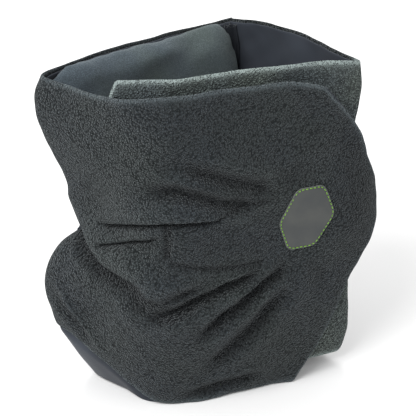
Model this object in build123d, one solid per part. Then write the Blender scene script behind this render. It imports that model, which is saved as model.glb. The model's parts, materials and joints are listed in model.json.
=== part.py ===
from build123d import *
import math
import os

# Wrap-around fleece neck collar with a stiffened support pocket, hook pad and grip patch.
# Frame while modelling: the front wall runs along +X from the front-left corner, the front
# faces -Y and +Z is up.  The finished part is moved so that its origin is the middle of the
# base of its bounding box.  All sizes are millimetres.

# ---- driving dimensions -------------------------------------------------------------------
COLLAR_HEIGHT = 200.0        # hem to rim of the standing collar
FLEECE = 2.2                 # thickness of the outer fleece
LINING = 1.2                 # thickness of the smooth inner lining
GAP = 0.3                    # clearance between neighbouring plies
FRAME = 2.6                  # thickness of the stiff moulding in the pocket
FOAM = 5.0                   # thickness of the foam over the moulding
HOOK_PAD = (62.0, 36.0, 1.6)     # width, height and thickness of the hook tape
PATCH = (35.0, 39.0, 1.4)        # width, height and thickness of the six-sided grip patch
TAIL_LIFT = 7.0              # the inner tail and back panel hang this far off the ground
TAIL_RISE = 4.0              # and stand this far above the outer flap
HEM_LIFT = 38.0              # the outer fleece hem climbs this high at the left corner
SKIRT = 4.0                  # walls are made this much too long and trimmed flat at z = 0

# ---- heights at which the plan of the collar is given --------------------------------------
LEVELS = [COLLAR_HEIGHT * share for share in (0.0, 0.2, 0.375, 0.55, 0.75, 1.0)]
TOP_LEVEL = COLLAR_HEIGHT + TAIL_RISE

# ---- plan position of each corner of the outer face at those heights -------------------------
BACK = [(92, 92), (96, 98), (98, 101), (97, 100), (98, 102), (99, 103)]
LEFT = [(-13, 56), (-35, 66), (-40, 69), (-24, 62), (-36, 67.5), (-38, 68)]
FRONT_LEFT = [(13, 6), (6, 0), (2, -4), (4, -4), (1, -3), (0, 0)]
FLAP_LINE = [(74, 0), (74, -3), (74, -6), (74, -6), (74, -5), (74, -1)]
FLAP_BEND = [(84, -1), (97, -4), (112, -7.5), (124, -8), (112, -7), (90, -4)]
FLAP_EDGE = [(91, -2), (110, -5), (127, -8), (143, -3), (131, -7), (104, -8)]
RIGHT = [(126, 8), (131, 6), (130, 4), (130, 3), (131, 4), (134, 5)]
TAIL_START = [(116, 7), (118, 4), (118, 2.5), (118, 2.5), (118, 3), (120, 4.5)]
TAIL_BEND = [(40, 9), (34, 6), (30, 5), (30, 5), (30, 7), (40, 7)]
TAIL_END = [(10, 26), (-2, 26), (-3, 30), (2, 27), (-3, 30), (-4, 32)]

# ---- corner roundings and seam places --------------------------------------------------------
LEFT_RADIUS = 11.0
FRONT_LEFT_RADIUS = 30.0
RIGHT_RADIUS = 7.0
BEND_RADIUS = 60.0
KNEE_RADIUS = 12.0
HINGE_SHARE = 0.45           # the flap hinge lies this share of the way from left to front-left
HINGE_HALF_GAP = 1.6         # bare fabric left each side of a hinge line
SUPPORT_START = 16.0         # the stiff insert starts this far from the back corner
SUPPORT_STOP = 18.0          # and stops this far before the left corner
COVER_INSET = 12.2           # outer face of the neck pad cover behind the outer fleece
COVER_PAST_CORNER = 24.0     # the cover runs this far round the left corner
BACK_BULGE = 6.0             # how far the back panel bows out at its middle
BACK_MITRE = 4.8             # the back panel butts against the side wall this far from the corner


# ---- plan helpers ------------------------------------------------------------------------------
def toward(start, finish, distance):
    """The point at a distance from start on the straight line to finish."""
    length = math.dist(start, finish)
    share = distance / length
    return (start[0] + (finish[0] - start[0]) * share, start[1] + (finish[1] - start[1]) * share)


def unit_normal(start, finish):
    """Normal of a run, to its left, which is the inward side of the paths used here."""
    length = math.dist(start, finish)
    return (-(finish[1] - start[1]) / length, (finish[0] - start[0]) / length)


def inset_path(points, insets):
    """Move each corner of a path inward by its own inset, mitred at the corners."""
    moved = []
    for index, (x, y) in enumerate(points):
        before = points[max(index - 1, 0)]
        after = points[min(index + 1, len(points) - 1)]
        first = unit_normal(before, (x, y)) if index > 0 else unit_normal((x, y), after)
        second = unit_normal((x, y), after) if index < len(points) - 1 else first
        mitre = 1 + first[0] * second[0] + first[1] * second[1]
        inset = insets[index]
        moved.append((x + inset * (first[0] + second[0]) / mitre,
                      y + inset * (first[1] + second[1]) / mitre))
    return moved


def run_points(start, finish):
    """Points that keep a straight run straight between two roundings."""
    length = math.dist(start, finish)
    return [toward(start, finish, length * share) for share in (0.07, 0.5, 0.93)]


def rounded_samples(points, radii, arc_steps=4):
    """Points along a path whose corners are rounded; every path of a kind has the same count."""
    samples = [points[0]]
    for index in range(1, len(points) - 1):
        corner = points[index]
        before, after = points[index - 1], points[index + 1]
        run = min(math.dist(before, corner), math.dist(corner, after))
        normal_in, normal_out = unit_normal(before, corner), unit_normal(corner, after)
        cosine = normal_in[0] * normal_out[0] + normal_in[1] * normal_out[1]
        turn = math.acos(max(-1.0, min(1.0, cosine)))
        reach = min(max(radii[index - 1] * math.tan(turn / 2), 1.5), 0.45 * run)
        entry, leave = toward(corner, before, reach), toward(corner, after, reach)
        samples.extend(run_points(samples[-1], entry))
        for step in range(arc_steps + 1):
            t = step / arc_steps
            samples.append(tuple((1 - t) ** 2 * entry[axis] + 2 * t * (1 - t) * corner[axis]
                                 + t ** 2 * leave[axis] for axis in (0, 1)))
    samples.extend(run_points(samples[-1], points[-1]))
    samples.append(points[-1])
    return samples


def ribbon(points, radii, insets, thickness, z):
    """Closed cross-section of one ply at one height."""
    outer_path = inset_path(points, insets)
    inner_path = inset_path(points, [inset + thickness for inset in insets])
    inner_radii = [max(radius - insets[0] - thickness, 2.0) for radius in radii]
    outer_radii = [max(radius - insets[0], 2.0) for radius in radii]
    outer = [(x, y, z) for x, y in rounded_samples(outer_path, outer_radii)]
    inner = [(x, y, z) for x, y in rounded_samples(inner_path, inner_radii)]
    edges = [Spline(*outer), Line(outer[-1], inner[-1]),
             Spline(*reversed(inner)), Line(inner[0], outer[0])]
    return Face(Wire(edges))


def ply(path_at, radii, inset, thickness, rise=0.0, insets=None):
    """Loft one ply of fabric through the heights; path_at(level index) gives its plan."""
    sections = []
    for index, z in enumerate(LEVELS):
        points = path_at(index)
        steps = insets or [inset] * len(points)
        height = z - SKIRT if index == 0 else z
        height = z + rise if index == len(LEVELS) - 1 else height
        sections.append(ribbon(points, radii, steps, thickness, height))
    return loft(sections, ruled=True)


def band(solid, low, high):
    """The part of a wall between two heights."""
    reach = 4 * COLLAR_HEIGHT
    return solid & Pos(0, 0, (low + high) / 2) * Box(reach, reach, high - low)


def single(shape):
    """The one solid of a shape that came out of a boolean."""
    solids = shape.solids()
    return max(solids, key=lambda solid: solid.volume)


# ---- plan paths, all running so that the inside of the collar is on their left ------------------
def side_path(index):
    """Back corner to left corner to just before the flap hinge."""
    left, front = LEFT[index], FRONT_LEFT[index]
    hinge = toward(left, front, HINGE_SHARE * math.dist(left, front) - HINGE_HALF_GAP)
    return [BACK[index], left, hinge]


def flap_path(index):
    """Just after the flap hinge, round the front-left corner, to the tip line."""
    left, front = LEFT[index], FRONT_LEFT[index]
    hinge = toward(left, front, HINGE_SHARE * math.dist(left, front) + HINGE_HALF_GAP)
    stop = toward(FLAP_LINE[index], front, HINGE_HALF_GAP)
    return [hinge, front, stop]


def tip_path(index):
    """Just after the tip line to the free edge of the flap."""
    start = toward(FLAP_LINE[index], FLAP_BEND[index], HINGE_HALF_GAP)
    return [start, FLAP_BEND[index], FLAP_EDGE[index]]


def back_path(index):
    """Just right of the tail hinge, round the right corner, to the back corner."""
    right, back = RIGHT[index], BACK[index]
    outward = unit_normal(back, right)
    middle = ((right[0] + back[0]) / 2 + outward[0] * BACK_BULGE,
              (right[1] + back[1]) / 2 + outward[1] * BACK_BULGE)
    stop = toward(back, middle, BACK_MITRE)
    return [toward(TAIL_START[index], right, HINGE_HALF_GAP), right, middle, stop]


def tail_path(index):
    """Free end of the inner tail, behind the front wall, to the tail hinge."""
    stop = toward(TAIL_START[index], TAIL_BEND[index], HINGE_HALF_GAP)
    return [TAIL_END[index], TAIL_BEND[index], stop]


def support_path(index):
    """The stretch of the back-left wall that the stiff insert lies behind."""
    back, left = BACK[index], LEFT[index]
    return [toward(back, left, SUPPORT_START), toward(back, left, math.dist(back, left) / 2),
            toward(left, back, SUPPORT_STOP)]


def cover_path(index):
    """The neck pad cover: along the insert, round the left corner, and a little past it."""
    back, left, front = BACK[index], LEFT[index], FRONT_LEFT[index]
    return [toward(back, left, SUPPORT_START - 7), toward(left, back, SUPPORT_STOP - 2), left,
            toward(left, front, COVER_PAST_CORNER)]


# ---- sub-parts: the collar body ------------------------------------------------------------------
def trimmed(solid):
    """Cut a wall flat at the ground."""
    return band(solid, 0, 2 * COLLAR_HEIGHT)


def make_side_fleece():
    wall = ply(side_path, [LEFT_RADIUS], 0, FLEECE)
    hem = Plane(origin=(BACK[0][0], BACK[0][1], 0), z_dir=hem_normal())
    return single(trimmed(split(wall, bisect_by=hem, keep=Keep.TOP)))


def hem_normal():
    """Normal of the plane that the lifted hem lies in: down at the back and the front-left."""
    back = Vector(BACK[0][0], BACK[0][1], 0)
    front = Vector(FRONT_LEFT[0][0], FRONT_LEFT[0][1], 0)
    lifted = Vector(LEFT[1][0], LEFT[1][1], HEM_LIFT)
    normal = (front - back).cross(lifted - back)
    return normal if normal.Z > 0 else -normal


def make_pocket_lining():
    return single(trimmed(ply(side_path, [LEFT_RADIUS], FLEECE + GAP, LINING)))


FRAME_INSET = FLEECE + LINING + 2 * GAP
FRAME_LOW, FRAME_HIGH = 44.0, 164.0
RAIL = 13.0                  # height of the top and bottom rails of the moulding
RIB_COUNT = 7
RIB_WIDTH = 7.0


def make_support_frame():
    """One springy moulding: two rails joined by ribs, with open windows between them."""
    frame = band(ply(support_path, [BEND_RADIUS], FRAME_INSET, FRAME), FRAME_LOW, FRAME_HIGH)
    start, _, stop = support_path(3)
    pitch = math.dist(start, stop) / (RIB_COUNT - 1)
    angle = math.degrees(math.atan2(stop[1] - start[1], stop[0] - start[0]))
    window_height = FRAME_HIGH - FRAME_LOW - 2 * RAIL
    for index in range(RIB_COUNT - 1):
        x, y = toward(start, stop, pitch * (index + 0.5))
        window = Box(pitch - RIB_WIDTH, 60, window_height)
        window = fillet(window.edges().filter_by(Axis.Y), 4.0)
        frame -= Pos(x, y, (FRAME_LOW + FRAME_HIGH) / 2) * Rot(0, 0, angle) * window
    return single(frame)


def make_foam(low, high):
    """A strip of soft foam on the neck side of the moulding."""
    inset = FRAME_INSET + FRAME + GAP
    return single(band(ply(support_path, [BEND_RADIUS], inset, FOAM - 0.6), low, high))


def make_neck_pad_cover():
    insets = [COVER_INSET, COVER_INSET, 7.5, FLEECE + LINING + 2 * GAP]
    cover = ply(cover_path, [KNEE_RADIUS, LEFT_RADIUS], 0, FLEECE, insets=insets)
    return single(band(cover, 10, COLLAR_HEIGHT - 2))


def make_back_fleece():
    wall = ply(back_path, [RIGHT_RADIUS, BEND_RADIUS], 0, FLEECE, rise=TAIL_RISE)
    return single(split(wall, bisect_by=back_hem(), keep=Keep.TOP))


def make_back_lining():
    wall = ply(back_path, [RIGHT_RADIUS, BEND_RADIUS], FLEECE + GAP, LINING, rise=TAIL_RISE)
    return single(split(wall, bisect_by=back_hem(), keep=Keep.TOP))


def back_hem():
    """The plane that the hem of the back panel lies in: on the ground at the back corner."""
    run = Vector(RIGHT[0][0] - BACK[0][0], RIGHT[0][1] - BACK[0][1], TAIL_LIFT)
    across = Vector(0, 0, 1).cross(run)
    normal = run.cross(across)
    return Plane(origin=(BACK[0][0], BACK[0][1], 0), z_dir=normal)


SEAM_TAPE = (11.0, 1.2)      # width of each leg and thickness of the corner tape


def make_back_seam_tape():
    """Folded tape in the back corner that covers the joint of the two walls."""
    inset = FLEECE + LINING + 2 * GAP

    def corner_path(index):
        back, left, right = BACK[index], LEFT[index], RIGHT[index]
        return [toward(back, right, SEAM_TAPE[0] + 3), back, toward(back, left, SEAM_TAPE[0])]

    return single(trimmed(ply(corner_path, [3.0], inset, SEAM_TAPE[1] - GAP)))


# ---- sub-parts: the inner tail -----------------------------------------------------------------
def make_tail(inset, thickness):
    wall = ply(tail_path, [FRONT_LEFT_RADIUS], inset, thickness, rise=TAIL_RISE)
    return single(band(wall, TAIL_LIFT, TOP_LEVEL))


# ---- sub-parts: the front flap -------------------------------------------------------------------
def make_flap(inset, thickness):
    return single(trimmed(ply(flap_path, [FRONT_LEFT_RADIUS], inset, thickness)))


HOOK_CENTRE = (41.0, 107.0)  # x and z of the hook tape on the back of the flap


def make_hook_pad():
    """Hook tape sewn to the inner face of the flap; it grips the fleece of the tail."""
    width, height, thickness = HOOK_PAD
    sheet = ply(flap_path, [FRONT_LEFT_RADIUS], FLEECE + LINING + 2 * GAP, thickness)
    block = Box(width, 80, height)
    block = fillet(block.edges().filter_by(Axis.Y), 4.0)
    return single(sheet & Pos(HOOK_CENTRE[0], 0, HOOK_CENTRE[1]) * block)


STITCH_SIZE = 0.7
STITCH_PITCH = 4.2
STITCH_LENGTH = 2.8


def stitch_blocks(corners):
    """Short upright blocks along a closed outline of (x, z) corners, one for each stitch."""
    blocks = []
    for index, corner in enumerate(corners):
        following = corners[(index + 1) % len(corners)]
        length = math.dist(corner, following)
        count = max(1, int(length / STITCH_PITCH))
        angle = math.degrees(math.atan2(following[1] - corner[1], following[0] - corner[0]))
        for step in range(count):
            x, z = toward(corner, following, length * (step + 0.5) / count)
            blocks.append(Pos(x, 0, z) * Rot(0, -angle, 0) * Box(STITCH_LENGTH, 120, STITCH_SIZE))
    return blocks


def stitches(sheet, corners):
    """Stitches of thread lying in a thin sheet along an outline."""
    pieces = []
    for block in stitch_blocks(corners):
        common = sheet & block
        pieces.extend(solid for solid in common.solids() if solid.center().Y < 20)
    return Compound(children=pieces)


def make_hook_stitches():
    """The rectangle of thread that shows on the outer face over the hook tape."""
    width, height = HOOK_PAD[0] - 5, HOOK_PAD[1] - 5
    x, z = HOOK_CENTRE
    corners = [(x + width / 2 * i, z + height / 2 * k) for i, k in ((-1, -1), (1, -1), (1, 1), (-1, 1))]
    sheet = ply(flap_path, [FRONT_LEFT_RADIUS], -0.6, 0.5)
    return stitches(sheet, corners)


# ---- sub-parts: the flap tip ---------------------------------------------------------------------
def make_tip(inset, thickness):
    return single(trimmed(ply(tip_path, [BEND_RADIUS], inset, thickness)))


PATCH_CENTRE = (95.5, 114.5)
PATCH_SHARES = [(-0.2, 0.5), (0.3, 0.46), (0.5, 0.02), (0.16, -0.5), (-0.33, -0.5), (-0.5, 0.0)]


def patch_corners(margin):
    """Corners (x, z) of the lopsided hexagon, pulled in by a margin."""
    width, height = PATCH[0] - 2 * margin, PATCH[1] - 2 * margin
    return [(PATCH_CENTRE[0] + i * width, PATCH_CENTRE[1] + k * height) for i, k in PATCH_SHARES]


def make_grip_patch():
    outline = [Vector(x, -60, z) for x, z in patch_corners(0)]
    prism = extrude(Face(Wire.make_polygon(outline, close=True)), 120, dir=(0, 1, 0))
    prism = fillet(prism.edges().filter_by(Axis.Y), 3.0)
    sheet = ply(tip_path, [BEND_RADIUS], -(PATCH[2] + GAP), PATCH[2])
    return single(sheet & prism)


def make_patch_stitches():
    sheet = ply(tip_path, [BEND_RADIUS], -(PATCH[2] + GAP + 0.6), 0.5)
    return stitches(sheet, patch_corners(2.0))


# ---- assembly ------------------------------------------------------------------------------------
FOAM_SPLITS = (40.0, 70.0, 136.0, 168.0)


def make_all():
    lining_inset = FLEECE + GAP
    return {
        "side_fleece": make_side_fleece(),
        "pocket_lining": make_pocket_lining(),
        "support_frame": make_support_frame(),
        "lower_foam_rail": make_foam(FOAM_SPLITS[0], FOAM_SPLITS[1] - GAP),
        "foam_pad": make_foam(FOAM_SPLITS[1], FOAM_SPLITS[2] - GAP),
        "upper_foam_rail": make_foam(FOAM_SPLITS[2], FOAM_SPLITS[3]),
        "neck_pad_cover": make_neck_pad_cover(),
        "back_panel_fleece": make_back_fleece(),
        "back_panel_lining": make_back_lining(),
        "back_seam_tape": make_back_seam_tape(),
        "tail_fleece": make_tail(0, FLEECE),
        "tail_lining": make_tail(lining_inset, LINING),
        "flap_fleece": make_flap(0, FLEECE),
        "flap_lining": make_flap(lining_inset, LINING),
        "hook_pad": make_hook_pad(),
        "hook_pad_stitches": make_hook_stitches(),
        "tip_fleece": make_tip(0, FLEECE),
        "tip_lining": make_tip(lining_inset, LINING),
        "grip_patch": make_grip_patch(),
        "patch_stitches": make_patch_stitches(),
    }


def main():
    os.makedirs("parts", exist_ok=True)
    parts = make_all()
    boxes = [shape.bounding_box() for shape in parts.values()]
    low_x, high_x = min(box.min.X for box in boxes), max(box.max.X for box in boxes)
    low_y, high_y = min(box.min.Y for box in boxes), max(box.max.Y for box in boxes)
    middle = Vector((low_x + high_x) / 2, (low_y + high_y) / 2, min(box.min.Z for box in boxes))
    print("middle of the base", [round(value, 3) for value in (middle.X, middle.Y, middle.Z)])
    for name, shape in parts.items():
        export_step(Pos(-middle.X, -middle.Y, -middle.Z) * shape, f"parts/{name}.step")


main()
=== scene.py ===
import json
import math
import random

import bmesh
import bpy
import numpy as np
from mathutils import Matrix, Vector
from mathutils.kdtree import KDTree

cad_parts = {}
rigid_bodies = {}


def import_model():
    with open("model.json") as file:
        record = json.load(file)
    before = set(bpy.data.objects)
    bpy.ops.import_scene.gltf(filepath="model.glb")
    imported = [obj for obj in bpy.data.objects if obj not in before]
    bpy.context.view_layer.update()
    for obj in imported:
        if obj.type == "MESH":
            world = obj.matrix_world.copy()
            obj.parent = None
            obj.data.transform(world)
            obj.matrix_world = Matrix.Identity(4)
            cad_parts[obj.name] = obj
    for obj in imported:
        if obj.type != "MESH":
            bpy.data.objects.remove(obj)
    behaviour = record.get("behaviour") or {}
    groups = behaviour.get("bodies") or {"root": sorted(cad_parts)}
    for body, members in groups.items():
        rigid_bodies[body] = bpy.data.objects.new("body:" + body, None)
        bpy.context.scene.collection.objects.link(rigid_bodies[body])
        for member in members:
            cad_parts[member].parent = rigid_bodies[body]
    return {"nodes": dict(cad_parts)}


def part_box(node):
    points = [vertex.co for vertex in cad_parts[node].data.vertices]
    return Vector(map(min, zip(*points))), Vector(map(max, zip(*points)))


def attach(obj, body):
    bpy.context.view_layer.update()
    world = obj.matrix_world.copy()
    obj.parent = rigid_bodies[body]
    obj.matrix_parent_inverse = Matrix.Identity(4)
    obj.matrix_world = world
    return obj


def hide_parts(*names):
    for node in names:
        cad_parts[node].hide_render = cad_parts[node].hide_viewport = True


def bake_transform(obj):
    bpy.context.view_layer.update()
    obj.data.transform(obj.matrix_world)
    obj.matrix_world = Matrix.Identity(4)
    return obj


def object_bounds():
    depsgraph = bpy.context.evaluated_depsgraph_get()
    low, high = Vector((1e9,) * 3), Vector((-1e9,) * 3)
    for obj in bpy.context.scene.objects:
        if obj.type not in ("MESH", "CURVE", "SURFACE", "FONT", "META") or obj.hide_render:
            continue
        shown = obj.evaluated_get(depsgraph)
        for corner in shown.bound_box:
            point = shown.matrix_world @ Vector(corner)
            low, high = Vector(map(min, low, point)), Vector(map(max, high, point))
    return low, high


for item in list(bpy.data.objects):
    bpy.data.objects.remove(item, do_unlink=True)
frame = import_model()
cad_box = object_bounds()

# ---- the collar's own millimetres ----
# The front wall runs along +X from the front-left corner, the front faces -Y, and the hem is z = 0.
HEIGHT = 204.0               # hem of the flap to the rim of the inner tail
HOOK_START = 10.0            # the hook tape starts this far along the front wall
BACK_DEPTH = 103.0           # the back corner stands this far behind the front wall
MM = (cad_box[1][2] - cad_box[0][2]) / HEIGHT
CORNER = np.array([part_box("hook_pad")[0][0] - HOOK_START * MM,
                   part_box("side_fleece")[1][1] - BACK_DEPTH * MM,
                   cad_box[0][2]])


def to_frame(points):
    """Collar millimetres to metres in the shared frame."""
    return CORNER + np.asarray(points, float) * MM


# ---- plan of the outer face: corner tracks by height ----
RIM = 200.0
HEIGHTS = [0, 22, 42, 68, 84, 99, 111, 125, 145, 161, 183, 200, 206]
LEFT_BASE = (-43.0, 71.0)
LEFT_SHIFT = [24, 8, 1, -3, 1, 11, 20, 16, 6, -1, -4, 0, 2]
RIGHT_WAY = np.array([0.913, -0.407])
FRONT_HEIGHTS = [0, 20, 45, 75, 105, 130, 165, 200, 206]
FRONT_X = [3, 3, 0, -2, -1, -1, -1, 0, 0]
FRONT_Y = [5, 0, -5, -8, -6, -6, -4, 0, 0]
LINE_Y = [2, -3, -7, -8, -7, -8, -7, -1, -1]
EDGE_HEIGHTS = [0, 10, 22, 42, 64, 80, 99, 117, 129, 146, 165, 181, 190, 206]
EDGE_X = [89, 95, 103, 111, 120, 130, 140, 143.5, 141, 133, 125, 113, 105, 92]
EDGE_Y = [0, -1, -3, -6, -7, -6, -3, -1, -2, -4, -7, -9, -10, -10]
BACK_X = [93, 95, 97, 99, 99, 98, 98, 98.5, 99.5, 99.5, 98, 95.5, 95]
BACK_Y = [97, 99, 101, 103, 103, 102, 102, 102, 102, 103, 103, 102.5, 102.5]
SEAM_X = 60.0                # where the main sheet of the flap hands over to the tip's sheet

FLEECE = 2.4
LINING = 1.0
GAP = 0.25                   # between the fleece and the lining
LINING_DROP = 1.5            # from the rim of the fleece down to the rim of the lining


def track(heights, values):
    """A smooth function of height through the given values."""
    heights = np.asarray(heights, float)
    values = np.asarray(values, float)
    slopes = np.gradient(values, heights)

    def at(z):
        z = np.clip(z, heights[0], heights[-1])
        cell = np.clip(np.searchsorted(heights, z, side="right") - 1, 0, len(heights) - 2)
        width = heights[cell + 1] - heights[cell]
        t = (z - heights[cell]) / width
        rise = values[cell + 1] - values[cell]
        first, second = slopes[cell] * width, slopes[cell + 1] * width
        return (values[cell] + t * first + t ** 2 * (3 * rise - 2 * first - second)
                + t ** 3 * (first + second - 2 * rise))
    return at


def corner_track(heights, xs, ys):
    """A smooth function of height that gives plan points, one row for each height."""
    x_at, y_at = track(heights, xs), track(heights, ys)
    return lambda z: np.stack([x_at(z), y_at(z)], axis=-1)


left_xs = [LEFT_BASE[0] + shift * RIGHT_WAY[0] for shift in LEFT_SHIFT]
left_ys = [LEFT_BASE[1] + shift * RIGHT_WAY[1] for shift in LEFT_SHIFT]
left_at = corner_track(HEIGHTS, left_xs, left_ys)
front_at = corner_track(FRONT_HEIGHTS, FRONT_X, FRONT_Y)
line_at = corner_track(FRONT_HEIGHTS, [SEAM_X] * len(FRONT_HEIGHTS), LINE_Y)
edge_at = corner_track(EDGE_HEIGHTS, EDGE_X, EDGE_Y)
back_at = corner_track(HEIGHTS, BACK_X, BACK_Y)
right_at = corner_track([0, 9, 30, 60, 110, 160, 184, 206], [124, 128, 133, 131, 130, 134, 134.5, 133.5],
                        [10, 8, 6, 7, 6, 6, 5, 5])


MOST_REACH = 0.46            # a rounding takes at most this share of a straight


def reach_along(step, reach):
    """The first part of each step, as long as the reach where the step has room for it."""
    length = np.linalg.norm(step, axis=1)
    return step * (np.minimum(reach, MOST_REACH * length) / length)[:, None]


def straight(first, last, cells):
    t = np.linspace(0, 1, cells + 1)[1:, None]
    return first[:, None, :] * (1 - t) + last[:, None, :] * t


def plan_rows(corners, reaches, runs, arcs):
    """Plan points for many heights at once: corners is a list of (rows, 2) arrays, each inner corner
    is rounded over its reach, and runs and arcs give the cells in each straight and each rounding."""
    rows = [corners[0][:, None, :]]
    leave = corners[0]
    inner = zip(corners, corners[1:], corners[2:], reaches, runs, arcs)
    for before, corner, after, reach, run, arc in inner:
        entry = corner - reach_along(corner - before, reach)
        leaving = corner + reach_along(after - corner, reach)
        rows.append(straight(leave, entry, run))
        t = np.linspace(0, 1, arc + 1)[1:, None]
        rows.append(entry[:, None, :] * (1 - t) ** 2 + corner[:, None, :] * (2 * t * (1 - t))
                    + leaving[:, None, :] * t ** 2)
        leave = leaving
    rows.append(straight(leave, corners[-1], runs[-1]))
    return np.concatenate(rows, axis=1)


def outward(plan):
    """Unit plan normals on the outside of paths that keep the collar's inside on their left."""
    along = np.gradient(plan, axis=1)
    along /= np.linalg.norm(along, axis=2, keepdims=True) + 1e-9
    return np.stack([along[..., 1], -along[..., 0]], axis=-1)


def path_length(plan):
    """Distance along each row from its first point."""
    steps = np.linalg.norm(np.diff(plan, axis=1), axis=2)
    return np.concatenate([np.zeros((len(plan), 1)), np.cumsum(steps, axis=1)], axis=1)


# ---- folds: lines in (along, up) coordinates, along = 0 at the front-left corner ----
def near_line(along, up, line):
    """Distance to a polyline, signed positive above it, and the share of the way along it."""
    line = np.asarray(line, float)
    lengths = np.linalg.norm(np.diff(line, axis=0), axis=1)
    starts = np.concatenate([[0], np.cumsum(lengths)])
    best = np.full(along.shape, 1e9)
    share = np.zeros(along.shape)
    for (ax, az), (bx, bz), length, start in zip(line[:-1], line[1:], lengths, starts):
        dx, dz = (bx - ax) / length, (bz - az) / length
        run = np.clip((along - ax) * dx + (up - az) * dz, 0, length)
        off_x, off_z = along - ax - run * dx, up - az - run * dz
        distance = np.hypot(off_x, off_z)
        side = np.where(dx * off_z - dz * off_x >= 0, 1.0, -1.0)
        closer = distance < np.abs(best)
        best = np.where(closer, distance * side, best)
        share = np.where(closer, (start + run) / starts[-1], share)
    return best, share


def bell(distance, width):
    return np.exp(-(distance / width) ** 2)


def smooth(edge_low, edge_high, value):
    """Smooth step from 0 at edge_low to 1 at edge_high."""
    t = np.clip((value - edge_low) / (edge_high - edge_low), 0, 1)
    return t * t * (3 - 2 * t)


def taper(share, start, stop):
    """Fades a fold in and out over these shares of its line."""
    return smooth(0, start, share) * smooth(0, stop, 1 - share)


# valley lines: points, depth, width, shares over which they fade in and out
VALLEYS = [
    ([(-14, 146), (10, 146), (23, 142), (38, 135), (52, 132), (60, 131)], 5.0, 4.4, 0.35, 0.12),
    ([(8, 165), (26, 155), (46, 146), (60, 141), (68, 138), (74, 137)], 4.2, 5.0, 0.35, 0.25),
    ([(-12, 63), (4, 66), (13, 69), (22, 73), (32, 77), (42, 81), (51, 83), (66, 88)], 4.8, 3.2, 0.25, 0.2),
    ([(16, 47), (28, 54), (37, 60), (50, 66), (59, 74), (71, 81), (82, 91)], 4.4, 3.8, 0.25, 0.2),
    ([(22, 22), (34, 32), (46, 41), (59, 50), (72, 64), (84, 80)], 3.6, 5.0, 0.25, 0.3),
    ([(8, 4), (20, 7), (38, 10), (56, 12), (70, 12)], 2.8, 3.4, 0.3, 0.35),
    ([(92, 92), (100, 76), (104, 60)], 1.4, 5.0, 0.4, 0.5),
    ([(72, 138), (82, 146), (96, 153)], 1.2, 6.0, 0.3, 0.5),
    ([(-4, 80), (8, 81), (18, 84), (30, 87)], 2.2, 3.0, 0.3, 0.5),
    ([(-78, 62), (-66, 50), (-55, 38), (-46, 30)], 1.6, 3.5, 0.3, 0.3),
]
# low ridges of doubled cloth: points, height, width
RIDGES = [
    ([(-78, 74), (-72, 66), (-61, 53), (-51, 41), (-42, 32), (-30, 22)], 2.2, 2.8),
    ([(-76, 100), (-68, 95), (-64, 88), (-55, 84), (-44, 76)], 2.2, 3.0),
    ([(-50, 132), (-36, 128), (-20, 133), (0, 137), (30, 134)], 1.8, 5.0),
]
# sharp creases, where the cloth above lies a little over the cloth below
TUCKS = [
    ([(-46, 114), (-27, 121), (-9, 127), (4, 129), (17, 129), (31, 127), (46, 127)], 5.6, 1.8, 0.12, 0.35),
    ([(-44, 103.4), (-36, 105.4), (-25, 109.4), (-16, 113.4), (-5, 116.4), (0, 118)], 3.9, 1.5, 0.12, 0.2),
]
# faint lines pressed in by sewing
SEWN_LINES = [
    ([(31, 127), (43, 128), (54, 131), (66, 132)], 1.2, 1.1),
    ([(4, 127), (4, 104)], 2.0, 2.2),
    ([(4, 102), (13, 100), (22, 97), (36, 94), (51, 93), (64, 93)], 1.8, 1.4),
]
# the lower lip of the big fold that the upper cloth makes over the lower
LIP = [(-100, 113), (-80, 112), (-66, 110), (-59, 106), (-52, 101), (-40, 94), (-26, 91), (-14, 87),
       (-8, 81), (0, 78), (8, 80), (18, 83), (34, 87), (50, 90)]


NEUTRAL = 0.3                # value of painted_shading that stands for plain cloth: no painted shade or light


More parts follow.
